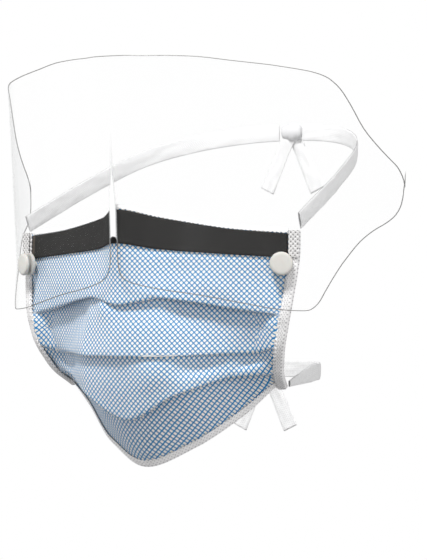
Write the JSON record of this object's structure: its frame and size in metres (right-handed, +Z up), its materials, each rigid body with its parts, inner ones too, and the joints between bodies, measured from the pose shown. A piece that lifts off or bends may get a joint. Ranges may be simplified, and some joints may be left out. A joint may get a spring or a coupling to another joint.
{
  "type": "tie-on surgical face mask with splash visor",
  "caption": "Pleated tie-on face mask with an anti-glare strip, bound edges and a clear wraparound splash visor held by button rivets.",
  "frame": {"origin": "middle of the mask's top edge, where it sits on the bridge of the nose", "axes": "+X to the wearer's left, -Y the way the mask faces, +Z up"},
  "size_m": [0.2162, 0.1853, 0.1954],
  "materials": {
    "body_cloth": "nonwoven cloth with a fine blue diamond crosshatch on off-white, matt",
    "anti_glare_strip": "thin black felt-like strip, matt",
    "binding_tape": "white nonwoven tape, finely point-bonded",
    "welded_patch": "white nonwoven pressed with coarse weld points",
    "clear_film": "clear thin plastic film, glossy, grey at its cut edge",
    "button_plastic": "warm off-white moulded plastic, softly matt",
    "tie_tape": "soft white nonwoven tape folded lengthways"
  },
  "bodies": {
    "root": {"mask_body": "body_cloth", "top_binding": "binding_tape", "glare_strip": "anti_glare_strip", "hem_binding": "binding_tape", "visor": "clear_film", "side_binding_left": "binding_tape", "side_binding_right": "binding_tape", "tie_patch_left": "welded_patch", "tie_patch_right": "welded_patch", "rivet_cap_left": "button_plastic", "rivet_cap_right": "button_plastic", "rivet_washer_left": "button_plastic", "rivet_washer_right": "button_plastic", "rivet_foot_left": "button_plastic", "rivet_foot_right": "button_plastic", "top_tie_left": "tie_tape", "top_tie_right": "tie_tape", "bottom_tie_left": "tie_tape", "bottom_tie_right": "tie_tape", "top_knot": "tie_tape", "bottom_knot": "tie_tape"}
  },
  "joints": []
}
